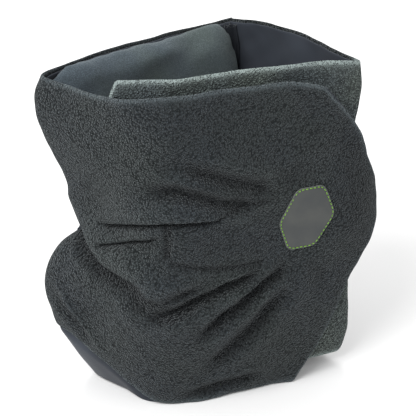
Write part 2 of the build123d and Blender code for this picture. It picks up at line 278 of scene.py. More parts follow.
def relief(along, up):
    """How far the outer cloth is pushed outward and upward from its plain wall, and the painted shading of
    each
    point: NEUTRAL on plain cloth, towards 1 (painted shade) in folds and where the cloth turns from the
    light, towards 0 (painted light) on crests."""
    out = np.zeros(along.shape)
    lift = np.zeros(along.shape)
    painted_shading = np.zeros(along.shape)
    lip, share = near_line(along, up, LIP)
    strength = smooth(-104, -78, along) * (1 - 0.45 * smooth(-30, 6, along)) * smooth(44, 10, along)
    over = np.where(lip > 0, bell(lip - 4, 13), bell(np.minimum(lip, 0) - 4, 5.0))
    under = bell(lip + 8, 9)
    out += strength * (5.2 * over - 8.0 * under)
    lift += strength ** 2 * (-3.2 * bell(lip - 1.5, 5) + 1.2 * bell(lip + 5, 4))
    # painted shade under the overhanging lip and along its edge
    painted_shading += 0.9 * strength * np.where(lip < 0, bell(np.maximum(-lip - 4, 0), 10), bell(lip, 1.8))
    for line, height, width in RIDGES:
        distance, share = near_line(along, up, line)
        out += height * taper(share, 0.3, 0.3) * bell(distance, width)
    for line, depth, width, start, stop in VALLEYS:
        distance, share = near_line(along, up, line)
        fade = taper(share, start, stop)
        out -= depth * fade * bell(distance, width)
        shoulders = bell(distance - 1.9 * width, width) + bell(distance + 1.9 * width, width)
        out += 0.45 * depth * fade * shoulders
        # painted shade in each valley
        painted_shading += 0.2 * depth * fade * bell(distance, 1.1 * width)
    for line, depth, width, start, stop in TUCKS:
        distance, share = near_line(along, up, line)
        fade = taper(share, start, stop)
        out -= depth * fade * bell(distance + 0.7 * width, width)
        crest = np.where(distance > 0, bell(distance - 2.4, 3.6), bell(distance - 2.4, 1.6))
        out += 0.5 * depth * fade * crest
        lift -= 0.4 * depth * fade * bell(distance - 0.8 * width, 1.6 * width)
        # painted shade in the crease under each tuck
        painted_shading += fade * bell(distance + 0.9 * width, 1.3 * width)
    for line, depth, width in SEWN_LINES:
        distance, share = near_line(along, up, line)
        fade = taper(share, 0.05, 0.05)
        out -= depth * fade * bell(distance, width)
        # painted shade in the sewn grooves
        painted_shading += fade * bell(distance, width)
    # painted shade where the cloth is hollow and painted light where it bulges, from the blurred relief
    painted_light_and_shade = np.clip((blurred(out, 160) - out) / 4.0, -1, 1)
    # painted shade right of the patch, where the cloth turns away from the light
    turned_away_shade = smooth(103, 120, along) * bell(up - 125, 50)
    painted_shading = NEUTRAL + (1 - NEUTRAL) * painted_shading + 0.45 * painted_light_and_shade + 0.4 * turned_away_shade
    return out, lift, np.clip(painted_shading, 0, 1)


def softness(along, up):
    """The slow unevenness of real cloth, the same every time."""
    waves = [(0.031, 0.047, 0.9, 1.1), (0.058, -0.036, 0.6, 2.3), (-0.085, 0.071, 0.35, 0.4),
             (0.12, 0.15, 0.2, 5.1), (0.21, -0.17, 0.12, 3.7)]
    return sum(size * np.sin(2 * math.pi * (fx * along * 0.35 + fz * up * 0.35) + shift)
               for fx, fz, size, shift in waves)


# ---- closed cloth from two grids ----
RIM_STEPS = 3
RIM_FADE = 0.9               # rows over which a rim's painted highlight fades into the cloth


def unit(vectors):
    return vectors / (np.linalg.norm(vectors, axis=-1, keepdims=True) + 1e-9)


def edge_arc(outer, inner, away):
    """Points of a rounded edge between the two faces of a cloth, bulging along away."""
    middle = (outer + inner) / 2
    half = (outer - inner) / 2
    radius = np.linalg.norm(half, axis=-1, keepdims=True)
    arcs = []
    for step in range(1, RIM_STEPS + 1):
        angle = math.pi * step / (RIM_STEPS + 1)
        arcs.append(middle + half * math.cos(angle) + away * radius * math.sin(angle))
    return arcs


def cloth_mesh(name, outer, inner, flat_ends=(False, False), seam_normals=(None, None), painted_shading=None,
               rim_highlight=1.0):
    """A closed cloth whose two faces are grids of (rows up, columns along) points in millimetres.
    A flat end is one that another sheet carries on from, and it takes the normals of both sheets
    together, so that no line shows between the two. The attribute edge is 1 at the cloth's rims,
    painted_shading gives the painted shade of folds and light of crests, and rim_highlight is how strong the
    painted rim highlight is at each column."""
    top = edge_arc(outer[-1], inner[-1], unit(outer[-1] - outer[-2]))
    bottom = edge_arc(inner[0], outer[0], unit(outer[0] - outer[1]))
    ring = np.concatenate([outer, np.array(top), inner[::-1], np.array(bottom)], axis=0)
    rows, columns = ring.shape[:2]
    points = [ring.transpose(1, 0, 2).reshape(-1, 3)]
    faces = []
    for column in range(columns - 1):
        first, second = column * rows, (column + 1) * rows
        for row in range(rows):
            following = (row + 1) % rows
            faces.append((first + row, second + row, second + following, first + following))
    flat_faces = set()
    count = len(outer)
    start = rows * columns
    for end, (column, inside) in enumerate(((0, 1), (columns - 1, columns - 2))):
        base = column * rows
        away = unit(outer[:, column] - outer[:, inside]) * (0.0 if flat_ends[end] else 1.0)
        points.append(edge_arc(outer[:, column], inner[:, column], away)[RIM_STEPS // 2])
        partner = [base + count + RIM_STEPS + count - 1 - row for row in range(count)]
        quads = []
        for row in range(count - 1):
            quads.append((base + row, base + row + 1, start + row + 1, start + row))
            quads.append((start + row, start + row + 1, partner[row + 1], partner[row]))
        quads.append(tuple([base + count - 1 + step for step in range(RIM_STEPS + 2)] + [start + count - 1]))
        quads.append(tuple([base, start] + [partner[0] + step for step in range(RIM_STEPS + 1)]))
        if flat_ends[end]:
            flat_faces.update(range(len(faces), len(faces) + len(quads)))
        faces.extend(quads if column == 0 else [tuple(reversed(face)) for face in quads])
        start += count
    obj = mesh_object(name, to_frame(np.concatenate(points)), faces)
    for index in flat_faces:
        obj.data.polygons[index].use_smooth = False
    total = sum(len(group) for group in points)
    normals = np.zeros((total, 3))
    for column, known in ((0, seam_normals[0]), (columns - 1, seam_normals[1])):
        if known is not None:
            base = column * rows
            normals[base:base + count] = known
            normals[base + count + RIM_STEPS:base + 2 * count + RIM_STEPS] = -known[::-1]
    if np.any(normals):
        obj.data.normals_split_custom_set_from_vertices(normals.tolist())
    # painted shading of each vertex, NEUTRAL (none) unless given
    shade_values = np.full(total, NEUTRAL)
    if painted_shading is not None:
        ring_shading = np.repeat(painted_shading[-1][:, None], rows, axis=1)
        ring_shading[:, :count] = painted_shading.T
        shade_values[:rows * columns] = ring_shading.reshape(-1)
    add_attribute(obj, "painted_shading", shade_values)
    # edge: nearness to the rims, scaled by rim_highlight; the fleece paints a highlight there
    add_attribute(obj, "edge", rim_share(count, columns, flat_ends, total)
                  * by_column(rim_highlight, rows, columns, count))
    return obj


def by_column(shares, rows, columns, count):
    """One value for each vertex of a cloth from a value for each of its columns."""
    shares = np.broadcast_to(np.asarray(shares, float), (columns,))
    return np.concatenate([np.repeat(shares, rows), np.repeat(shares[[0, -1]], count)])


def rim_share(count, columns, flat_ends, total):
    """How close each vertex of a cloth is to its rims, from 0 to 1."""
    face = np.minimum(np.arange(count), np.arange(count)[::-1])
    rim = np.zeros(RIM_STEPS)
    near = np.tile(np.concatenate([face, rim, face, rim]), (columns, 1))
    column = np.arange(columns)[:, None]
    for flat, from_end in zip(flat_ends, (column, columns - 1 - column)):
        if not flat:
            near = np.minimum(near, from_end)
    share = np.ones(total)
    share[:near.size] = np.exp(-near / RIM_FADE).reshape(-1)
    return share


def add_attribute(obj, name, values):
    layer = obj.data.attributes.new(name, "FLOAT", "POINT")
    layer.data.foreach_set("value", np.asarray(values, np.float32))


def placed(name, data):
    """A new object in the scene."""
    obj = bpy.data.objects.new(name, data)
    bpy.context.scene.collection.objects.link(obj)
    return obj


def mesh_object(name, points, faces):
    """A smooth-shaded mesh object with outward normals."""
    mesh = bpy.data.meshes.new(name)
    mesh.from_pydata(points.tolist(), [], faces)
    work = bmesh.new()
    work.from_mesh(mesh)
    bmesh.ops.recalc_face_normals(work, faces=work.faces)
    work.to_mesh(mesh)
    work.free()
    mesh.polygons.foreach_set("use_smooth", [True] * len(mesh.polygons))
    return placed(name, mesh)


def grid_normals(grid):
    """Unit normals of a grid of points, on the outer side."""
    return unit(np.cross(np.gradient(grid, axis=1), np.gradient(grid, axis=0)))


def blurred(grid, passes):
    """A grid with its detail smoothed away, edges kept."""
    for _ in range(passes):
        grid = grid.copy()
        grid[1:-1] = 0.5 * grid[1:-1] + 0.25 * (grid[:-2] + grid[2:])
        grid[:, 1:-1] = 0.5 * grid[:, 1:-1] + 0.25 * (grid[:, :-2] + grid[:, 2:])
    return grid


def fleece_depth(at_back):
    """Thickness of the fleece, which thins on the back walls; at_back is the share of the way there."""
    return FLEECE * (1 - 0.5 * at_back)[..., None]


def inset(grid, distance, passes=2):
    """The grid moved inward along its own softened normals."""
    return grid - distance * unit(blurred(grid_normals(grid), passes))


def trimmed_rows(plan, along, z, low, high):
    """Rows that run from a low to a high edge whose heights vary along the wall."""
    share = np.linspace(0, 1, ROWS)
    up = low[None, :] + share[:, None] * (high - low)[None, :]
    trimmed = np.zeros((ROWS, plan.shape[1], 2))
    distance = np.zeros((ROWS, plan.shape[1]))
    for column in range(plan.shape[1]):
        for axis in (0, 1):
            trimmed[:, column, axis] = np.interp(up[:, column], z, plan[:, column, axis])
        distance[:, column] = np.interp(up[:, column], z, along[:, column])
    return trimmed, distance, up


def standing(plan, up, out, lift):
    """3-D points of a wall whose plan is pushed outward and upward."""
    return np.concatenate([plan + outward(plan) * out[..., None], (up + lift)[..., None]], axis=-1)


# ---- the wrap: back corner, left corner, front-left corner, along the front to the free edge ----
ROWS = 150
WALL_RUNS = [70, 34, 30]
WALL_ARCS = [16, 34]
TIP_COLUMNS = 66
LEFT_REACH = 11.0
FRONT_REACH = 27.0
CORNER_COLUMN = WALL_RUNS[0] + WALL_ARCS[0] + WALL_RUNS[1] + WALL_ARCS[1] // 2
SEAM_COLUMN = sum(WALL_RUNS) + sum(WALL_ARCS)

HEM = track([-240, -150, -110, -78, -60, -40, -20, -5, 12, 200], [0, 6, 28, 37, 29, 19, 9, 3, 0, 0])
WRAP_RIM = track([-240, -216, -150, -78, -60, -30, 0, 60, 80, 90, 100, 108, 116],
                 [200, 200, 200, 198, 196, 196, 200, 200, 200, 198, 195, 191, 185])
EDGE_TURN = track([0, 40, 80, 110, 140, 165, 185, 206], [-8, 0, 22, 48, 30, 2, -22, -34])


def wrap_plan(z):
    """Plan of the whole wrap at many heights, and the distance along it from the front-left corner."""
    start = line_at(z)
    wall = plan_rows([back_at(z), left_at(z), front_at(z), start], [LEFT_REACH, FRONT_REACH],
                     WALL_RUNS, WALL_ARCS)
    finish = edge_at(z)
    span = np.linalg.norm(finish - start, axis=1)[:, None]
    leave = unit(start - front_at(z)) * span
    turn = np.radians(EDGE_TURN(z))
    arrive = np.stack([np.cos(turn), np.sin(turn)], axis=-1) * span
    t = np.linspace(0, 1, TIP_COLUMNS + 1)[1:]
    parts = (start, 1 - 3 * t ** 2 + 2 * t ** 3), (finish, 3 * t ** 2 - 2 * t ** 3), \
        (leave, t - 2 * t ** 2 + t ** 3), (arrive, t ** 3 - t ** 2)
    tip = sum(point[:, None, :] * weight[None, :, None] for point, weight in parts)
    plan = np.concatenate([wall, tip], axis=1)
    along = path_length(plan)
    return plan, along - along[:, CORNER_COLUMN][:, None]


def slack(along, up):
    """The wrap's small unevenness, and the belly of the padded wall."""
    return 0.8 * softness(along, up) + 5.0 * bell(along + 150, 45)


def wrap_grid():
    """The outer face of the outer fleece, folds and all."""
    z = np.linspace(0, RIM, ROWS)
    plan, along = wrap_plan(z)
    low = np.maximum(HEM(along[ROWS // 5]), FLEECE / 2)
    high = WRAP_RIM(along[-1])
    plan, along, up = trimmed_rows(plan, along, z, low, high)
    out, lift, painted_shading = relief(along, up)
    out += slack(along, up)
    grid = standing(plan, up, out, lift * smooth(0, 6, up - low[None, :]))
    return grid, along, up, painted_shading


def lining_grid():
    """The inner lining of the wrap: the same wall, plain, down to the ground all the way round."""
    z = np.linspace(0, RIM - LINING_DROP, ROWS)
    plan, along = wrap_plan(z)
    high = WRAP_RIM(along[-1]) - LINING_DROP
    plan, along, up = trimmed_rows(plan, along, z, np.full(plan.shape[1], LINING / 2), high)
    out = relief(along, up)[0]
    out += slack(along, up)
    bare = smooth(4, -7, up - HEM(along)) * smooth(18, -4, along)
    return standing(plan, up, blurred(out, 6) - 0.6 + 2.6 * bare, 0 * out), along, up


# ---- the inner tail: its free end, behind the front wall, round the right corner to the back ----
TAIL_RUNS = [24, 60, 10, 26, 30]
TAIL_ARCS = [20, 8, 12, 12]
TAIL_TOP = 205.0
TAIL_RIM = track([0, 110, 130, 145, 160, 230, 250], [205, 205, 204, 201, 201, 202, 200])
tail_end_at = corner_track([0, 60, 120, 180, 195, 206], [2, -6, 2, -10, -14, -10], [28, 32, 28, 33, 28, 27])
tail_bend_at = corner_track([0, 60, 120, 180, 206], [22, 18, 20, 16, 15], [14, 12, 12, 14, 15])
tail_line_at = corner_track([0, 60, 120, 180, 206], [86, 86, 86, 86, 86], [8, 6, 6, 6, 6])
back_middle_at = corner_track([0, 206], [116, 122], [56, 58])
TAIL_HEM = track([0, 110, 150, 190, 280], [8, 9, 8, 4, 0])


def tail_grid(top_drop=0.0):
    """The outer face of the cloth from the free end of the tail to the back corner."""
    z = np.linspace(0, TAIL_TOP + 1, ROWS)
    plan = plan_rows([tail_end_at(z), tail_bend_at(z), tail_line_at(z), right_at(z), back_middle_at(z),
                      back_at(z)], [22, 16, 6, 30], TAIL_RUNS, TAIL_ARCS)
    along = path_length(plan)
    low = TAIL_HEM(along[0])
    high = TAIL_RIM(along[-1]) - top_drop
    plan, along, up = trimmed_rows(plan, along, z, low, high)
    out = 0.9 * softness(along + 31, up) * smooth(0, 30, along)
    return standing(plan, up, out, 0 * out), along, up


# ---- materials ----
def srgb(red, green, blue):
    """Linear colour of 0-255 screen values."""
    def linear(value):
        value /= 255
        return value / 12.92 if value <= 0.04045 else ((value + 0.055) / 1.055) ** 2.4
    return (linear(red), linear(green), linear(blue), 1.0)


def mixed(first, second, share):
    return tuple(a * (1 - share) + b * share for a, b in zip(first, second))


BLACK, WHITE = (0, 0, 0, 1), (1, 1, 1, 1)


class Shader:
    """A few short ways to wire a node material. All but set and finish give back an output socket."""

    def __init__(self, name):
        self.material = bpy.data.materials.new(name)
        self.material.use_nodes = True
        self.tree = self.material.node_tree
        self.tree.nodes.clear()
        self.surface = self.tree.nodes.new("ShaderNodeBsdfPrincipled")
        self.node("ShaderNodeOutputMaterial", Surface=self.surface.outputs["BSDF"])
        self.place = self.node("ShaderNodeTexCoord").outputs["Object"]

    def set(self, target, value):
        """Link a socket to an input, or give the input a plain value."""
        if isinstance(value, bpy.types.NodeSocket):
            self.tree.links.new(value, target)
        else:
            target.default_value = value

    def node(self, kind, **inputs):
        """A whole node, not a socket, with its inputs set."""
        made = self.tree.nodes.new(kind)
        for key, value in inputs.items():
            self.set(made.inputs[key.replace("_", " ")], value)
        return made

    def noise(self, scale, detail=2.0, roughness=0.5, output="Fac"):
        return self.node("ShaderNodeTexNoise", Vector=self.place, Scale=scale, Detail=detail,
                         Roughness=roughness).outputs[output]

    def voronoi(self, scale, place=None):
        return self.node("ShaderNodeTexVoronoi", Vector=place or self.place, Scale=scale).outputs["Distance"]

    def wave(self, direction, scale, distortion):
        made = self.node("ShaderNodeTexWave", Vector=self.place, Scale=scale, Distortion=distortion,
                         Detail=1.0)
        made.bands_direction = direction
        return made.outputs["Fac"]

    def warped(self, scale, amount):
        """Object coordinates pushed about by noise, so that cells lose their even look."""
        made = self.tree.nodes.new("ShaderNodeVectorMath")
        made.operation = "MULTIPLY_ADD"
        push = self.noise(scale, detail=1.0, output="Color")
        for target, value in zip(made.inputs, (push, (amount, amount, amount), self.place)):
            self.set(target, value)
        return made.outputs["Vector"]

    def attribute(self, name):
        made = self.tree.nodes.new("ShaderNodeAttribute")
        made.attribute_name = name
        return made.outputs["Fac"]

    def ramp(self, source, *stops):
        made = self.node("ShaderNodeValToRGB", Fac=source)
        elements = made.color_ramp.elements
        while len(elements) < len(stops):
            elements.new(0.5)
        for element, (position, color) in zip(elements, stops):
            element.position = position
            element.color = color
        return made.outputs["Color"]

    def mix(self, kind, first, second, factor):
        made = self.tree.nodes.new("ShaderNodeMix")
        made.data_type = "RGBA"
        made.blend_type = kind
        for index, value in ((0, factor), (6, first), (7, second)):
            self.set(made.inputs[index], value)
        return made.outputs["Result"]

    def bump(self, source, strength, distance, below=None):
        made = self.node("ShaderNodeBump", Strength=strength, Distance=distance, Height=source)
        if below is not None:
            self.set(made.inputs["Normal"], below)
        return made.outputs["Normal"]

    def finish(self, color, normal, **values):
        for key, value in dict(Base_Color=color, Normal=normal, **values).items():
            self.set(self.surface.inputs[key.replace("_", " ")], value)
        return self.material


def fleece_material(name, dark, light, tuft, depth, contrast=1.0):
    """Pebbled pile: small rounded tufts with dark pits between them, painted shade in folds, painted light on
    crests and a painted highlight at rims.
    """
    shader = Shader(name)
    tufts = shader.voronoi(tuft, shader.warped(tuft * 0.9, 0.35 / tuft))
    middle = mixed(dark, light, 0.42)
    pit = mixed(middle, dark, 0.75 * contrast)
    color = shader.ramp(tufts, (0.06, light), (0.36, middle), (0.36 + 0.40 / contrast, pit))
    matted = shader.noise(tuft * 0.28, roughness=0.6)
    shade = shader.ramp(matted, (0.34, (0.72, 0.73, 0.76, 1)), (0.64, (1.16, 1.16, 1.13, 1)))
    color = shader.mix("MULTIPLY", color, shade, 0.2 * contrast)
    tint = shader.ramp(shader.noise(24), (0.35, (0.90, 0.93, 1.02, 1)), (0.65, (1.04, 1.06, 0.98, 1)))
    color = shader.mix("MULTIPLY", color, tint, 1.0)
    # painted shading: paler on crests, darker in folds and where the cloth turns from the light
    painted_light_and_shade = shader.ramp(shader.attribute("painted_shading"), (0.0, (1.35, 1.36, 1.34, 1)), (NEUTRAL, WHITE),
                       (1.0, (0.24, 0.25, 0.28, 1)))
    color = shader.mix("MULTIPLY", color, painted_light_and_shade, 1.0)
    # painted highlight along the rims, added on top of the colour
    rim_highlight = shader.ramp(shader.attribute("edge"), (0.0, BLACK), (1.0, light))
    color = shader.mix("ADD", color, rim_highlight, 1.0)
    heights = shader.ramp(tufts, (0.0, WHITE), (0.7, BLACK))
    normal = shader.bump(heights, contrast, depth)
    normal = shader.bump(matted, 0.5 * contrast, depth * 1.2, normal)
    normal = shader.bump(shader.noise(tuft * 3.3, roughness=0.7), 0.3, depth * 0.3, normal)
    return shader.finish(color, normal, Roughness=0.95, Sheen_Weight=0.2, Sheen_Roughness=0.5,
                         Sheen_Tint=(0.78, 0.84, 0.86, 1), Specular_IOR_Level=0.12)


def smooth_material(name, dark, light, clouds, grain, strength, depth, **values):
    """A faintly cloudy colour under one very fine grain: the stretch lining, or moulded plastic."""
    shader = Shader(name)
    color = shader.ramp(shader.noise(clouds), (0.35, dark), (0.65, light))
    return shader.finish(color, shader.bump(shader.noise(grain, detail=1.0), strength, depth), **values)


def patch_material():
    """Brushed synthetic leather: a fine grain of shallow pores and a faint cloudy wear."""
    shader = Shader("patch_leather")
    clouds = shader.noise(70, detail=3.0)
    color = shader.ramp(clouds, (0.32, srgb(52, 55, 56)), (0.68, srgb(64, 66, 64)))
    pale = shader.ramp(shader.attribute("edge"), (0.0, BLACK), (1.0, srgb(72, 76, 70)))
    color = shader.mix("ADD", color, pale, 0.6)
    pores = shader.bump(shader.voronoi(2600), 0.35, 0.0001)
    grain = shader.bump(shader.noise(5200, detail=1.0), 0.25, 0.00006, pores)
    return shader.finish(color, grain, Roughness=0.62, Specular_IOR_Level=0.4, Sheen_Weight=0.1)


def thread_material(name, dark, light):
    """Twisted thread: slanting strands, a little shine."""
    shader = Shader(name)
    strands = shader.wave("DIAGONAL", 1500.0, 1.0)
    color = shader.ramp(strands, (0.2, dark), (0.8, light))
    twist = shader.bump(strands, 0.5, 0.00008)
    return shader.finish(color, twist, Roughness=0.5, Specular_IOR_Level=0.45)


def foam_material():
    """Open-cell foam: small dark pores in a soft grey skin."""
    shader = Shader("foam_cells")
    cells = shader.voronoi(950)
    color = shader.ramp(cells, (0.15, srgb(58, 60, 62)), (0.45, srgb(128, 130, 130)))
    pores = shader.bump(cells, 0.6, 0.0003)
    lumps = shader.bump(shader.noise(180), 0.3, 0.0005, pores)
    return shader.finish(color, lumps, Roughness=1.0, Specular_IOR_Level=0.1)


def woven_material(name, dark, light, scale):
    """Close woven tape: crossing ribs."""
    shader = Shader(name)
    weft = shader.noise(scale * 2.4, detail=1.0)
    color = shader.ramp(weft, (0.3, dark), (0.7, light))
    ribs = shader.bump(shader.wave("Z", scale, 0.3), 0.5, 0.0001)
    weave = shader.bump(weft, 0.4, 0.0001, ribs)
    return shader.finish(color, weave, Roughness=0.75, Specular_IOR_Level=0.25)


outer_fleece = fleece_material("outer_fleece", srgb(1, 2, 2), srgb(66, 73, 76), 840, 0.0023)
# the same fleece as outer_fleece, painted about twice as pale: painted light on the tail sheet
painted_lit_tail_pile = fleece_material("painted_lit_tail_pile", srgb(12, 14, 14), srgb(132, 143, 141), 840, 0.0023)
pad_fleece = fleece_material("pad_fleece", srgb(38, 43, 45), srgb(93, 102, 106), 1400, 0.0005, 0.6)
lining_cloth = smooth_material("lining_cloth", srgb(40, 44, 51), srgb(54, 59, 67), 22, 2600, 0.35, 0.0002,
                               Roughness=0.8, Sheen_Weight=0.2, Sheen_Roughness=0.4,
                               Specular_IOR_Level=0.25)
patch_leather = patch_material()
green_thread = thread_material("green_thread", srgb(70, 118, 26), srgb(138, 186, 62))
grey_thread = thread_material("grey_thread", srgb(30, 33, 36), srgb(62, 67, 70))
foam_cells = foam_material()
frame_plastic = smooth_material("frame_plastic", srgb(38, 40, 42), srgb(48, 50, 52), 60, 3200, 0.3, 0.00008,
                                Roughness=0.42, Specular_IOR_Level=0.45)
hook_plastic = woven_material("hook_tape", srgb(24, 26, 28), srgb(44, 47, 50), 900)
tape_weave = woven_material("seam_tape_weave", srgb(30, 33, 38), srgb(44, 48, 54), 1100)


def dress(obj, material):
    obj.data.materials.clear()
    obj.data.materials.append(material)


def stand_in(piece, material, slot, *nodes):
    """Dress a piece and, if it stands for any, hide the CAD nodes that it replaces; slot is not used."""
    dress(piece, material)
    if nodes:
        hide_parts(*nodes)


def settle(piece, body, *about):
    """A stand-in that rides one body: about is its material, its slot and its CAD nodes."""
    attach(piece, body)
    stand_in(piece, *about)


# ---- small parts placed on the cloth ----
class Surface:
    """A cloth face on which parts are placed by their distance along the wall and their height."""

    def __init__(self, grid, along, up, softening=3):
        self.grid, self.along, self.up = grid, along, up
        self.normals = unit(blurred(grid_normals(grid), softening))
        self.row_numbers = np.arange(grid.shape[0])
        self.column_numbers = np.arange(grid.shape[1])

    def cell(self, along, up):
        """Row and column of a place, as fractions, found by turns."""
        column = self.grid.shape[1] / 2
        for _ in range(5):
            row = np.interp(up, self.up[:, int(round(column))], self.row_numbers)
            column = np.interp(along, self.along[int(round(row))], self.column_numbers)
        return row, column

    def at(self, along, up, rise):
        """3-D points of arrays of places, raised off the cloth by rise millimetres."""
        along, up, rise = np.broadcast_arrays(np.asarray(along, float), up, rise)
        points = np.zeros(along.shape + (3,))
        for index in np.ndindex(along.shape):
            row, column = self.cell(along[index], up[index])
            low_row = min(int(row), self.grid.shape[0] - 2)
            low_column = min(int(column), self.grid.shape[1] - 2)
            part_row, part_column = row - low_row, column - low_column
            for i, row_share in ((low_row, 1 - part_row), (low_row + 1, part_row)):
                for j, column_share in ((low_column, 1 - part_column), (low_column + 1, part_column)):
                    corner = self.grid[i, j] + self.normals[i, j] * rise[index]
                    points[index] += row_share * column_share * corner
            points[index][2] += max(0.0, up[index] - self.up[-1, low_column])
        return points


def gathered(name, parts):
    """One mesh object of many (points, faces) parts."""
    points, faces, start = [], [], 0
    for part_points, part_faces in parts:
        points.append(part_points)
        faces.extend(tuple(start + index for index in face) for face in part_faces)
        start += len(part_points)
    return mesh_object(name, to_frame(np.concatenate(points)), faces)


def ring_faces(rings, sides):
    """Faces that join rings of points, one ring after another."""
    faces = []
    for ring in range(rings - 1):
        for side in range(sides):
            turn = (side + 1) % sides
            faces.append((ring * sides + side, ring * sides + turn,
                          (ring + 1) * sides + turn, (ring + 1) * sides + side))
    return faces


def tube(path, radii, sides=6):
    """Points and faces of a closed tube along a short path, with a radius at each point."""
    path = np.asarray(path, float)
    tangents = unit(np.gradient(path, axis=0))
    helper = np.array([0.31, 0.22, 0.92])
    across = unit(np.cross(tangents, helper))
    up = np.cross(across, tangents)
    angles = np.arange(sides) * 2 * math.pi / sides
    ring = across[:, None] * np.cos(angles)[None, :, None] + up[:, None] * np.sin(angles)[None, :, None]
    points = (path[:, None] + ring * np.asarray(radii, float)[:, None, None]).reshape(-1, 3)
    faces = ring_faces(len(path), sides)
    last = (len(path) - 1) * sides
    faces.append(tuple(range(sides))[::-1])
    faces.append(tuple(range(last, last + sides)))
    return points, faces


def stitch(surface, start, finish, rise, radius):
    """One stitch: a short thread that rises out of the cloth and goes back in."""
    share = np.linspace(0, 1, 7)
    along = start[0] + (finish[0] - start[0]) * share
    up = start[1] + (finish[1] - start[1]) * share
    height = rise + radius * (1.5 * np.sin(math.pi * share) - 0.9)
    radii = radius * np.clip(0.35 + 2.4 * np.minimum(share, 1 - share), 0, 1)
    return tube(surface.at(along, up, height), radii)


def stitch_line(surface, points, pitch, length, rise, radius):
    """Stitches one after another along a line of (along, up) points."""
    points = np.asarray(points, float)
    reached = np.concatenate([[0], np.cumsum(np.linalg.norm(np.diff(points, axis=0), axis=1))])

    def place(distance):
        return (np.interp(distance, reached, points[:, 0]), np.interp(distance, reached, points[:, 1]))
    count = int(reached[-1] / pitch)
    margin = (reached[-1] - count * pitch) / 2 + (pitch - length) / 2
    return [stitch(surface, place(margin + step * pitch), place(margin + step * pitch + length),
                   rise, radius) for step in range(count)]


# ---- the six-sided patch ----
PATCH_CORNERS = [(81.8, 137.6), (99.8, 137.2), (106, 119), (94.5, 97.8), (78.2, 97.2), (71.4, 116)]
PATCH_ROUND = 4.2
PATCH_STEPS = 6
# rings of the patch from its rim to its middle: share of the outline, height over the cloth
PATCH_RINGS = [(0.985, 0.05), (1.0, 0.35), (1.0, 0.75), (0.990, 1.0), (0.978, 1.08), (0.966, 0.98),
               (0.952, 0.66), (0.936, 1.0), (0.915, 1.16), (0.75, 1.22), (0.58, 1.25), (0.40, 1.28),
               (0.20, 1.3)]
STITCH_SHARE = 0.953
PATCH_STITCH = {"pitch": 2.5, "length": 1.9, "rise": 0.86, "radius": 0.30}


def rounded_outline(corners, reach, steps):
    """A closed outline whose corners are rounded by curves that start a given distance from them."""
    corners = np.asarray(corners, float)
    outline = []
    for index, corner in enumerate(corners):
        following = corners[(index + 1) % len(corners)]
        into = unit(corners[index - 1] - corner)
        out = unit(following - corner)
        for t in np.linspace(0, 1, steps):
            outline.append(corner + into * reach * (1 - t) ** 2 + out * reach * t ** 2)
        run_start, run_end = corner + out * reach, following - out * reach
        outline.extend(run_start * (1 - t) + run_end * t for t in np.linspace(0, 1, steps + 2)[1:-1])
    return np.array(outline)


def grip_patch(surface):
    outline = rounded_outline(PATCH_CORNERS, PATCH_ROUND, PATCH_STEPS)
    middle = outline.mean(axis=0)
    rings = [(0.6, 0.05)] + PATCH_RINGS
    points, count = [], len(outline)
    for share, rise in rings:
        ring = middle + (outline - middle) * share
        points.append(surface.at(ring[:, 0], ring[:, 1], rise))
    faces = ring_faces(len(rings), count)
    centres = surface.at(np.full(2, middle[0]), np.full(2, middle[1]), np.array([0.05, 1.3]))
    bottom, top = len(rings) * count, len(rings) * count + 1
    last = (len(rings) - 1) * count
    for side in range(count):
        turn = (side + 1) % count
        faces.append((side, bottom, turn))
        faces.append((last + side, last + turn, top))
    patch = mesh_object("hexagonal_patch", to_frame(np.concatenate(points + [centres])), faces)
    rim = [math.exp(-((share - 0.995) / 0.018) ** 2) for share, rise in rings]
    add_attribute(patch, "edge", np.concatenate([np.repeat(rim, count), [0, 0]]))
    sewn = middle + (np.concatenate([outline, outline[:1]]) - middle) * STITCH_SHARE
    threads = gathered("patch_edge_stitches", stitch_line(surface, sewn, **PATCH_STITCH))
    settle(patch, "flap_tip", patch_leather, "patch_leather", "grip_patch")
    settle(threads, "flap_tip", green_thread, "green_thread", "patch_stitches")


# ---- the hook tape behind the flap ----
HOOK_LOW, HOOK_HIGH = (7.0, 92.0), (64.0, 125.0)
HOOK_PITCH = 1.7
HOOK_BASE = 0.8
HOOK_DEPTH = 1.1             # from the lining's outer face to the tape
HOOK_MARGIN = 2.2
HOOK_STITCH = {"pitch": 3.4, "length": 2.5, "rise": -0.12, "radius": 0.22}


def hook(surface, along, up):
    """One moulded hook: a stem that leaves the tape and bends over."""
    run = np.array([0.0, 0.0, 0.05, 0.30, 0.55, 0.50])
    rise = -np.array([0.0, 0.55, 0.95, 1.20, 1.05, 0.85]) - HOOK_BASE - 1.05
    return tube(surface.at(along + run, up + 0 * run, rise), [0.17, 0.15, 0.13, 0.12, 0.10, 0.05], sides=4)


def hook_tape(surface):
    along = np.linspace(HOOK_LOW[0], HOOK_HIGH[0], 60)[None, :]
    up = np.linspace(HOOK_LOW[1], HOOK_HIGH[1], 36)[:, None]
    outer = surface.at(along, up, -HOOK_DEPTH)
    base = cloth_mesh("hook_tape_base", outer, surface.at(along, up, -HOOK_DEPTH - HOOK_BASE))
    rows = np.arange(HOOK_LOW[1] + HOOK_MARGIN, HOOK_HIGH[1] - HOOK_MARGIN, HOOK_PITCH)
    columns = np.arange(HOOK_LOW[0] + HOOK_MARGIN, HOOK_HIGH[0] - HOOK_MARGIN, HOOK_PITCH)
    hooks = gathered("hook_tape_hooks", [hook(surface, column + (0.5 * HOOK_PITCH if row % 2 else 0), up_at)
                                         for row, up_at in enumerate(rows) for column in columns])
    settle(base, "front_flap", hook_plastic, "hook_tape", "hook_pad")
    settle(hooks, "front_flap", hook_plastic, "hook_tape")


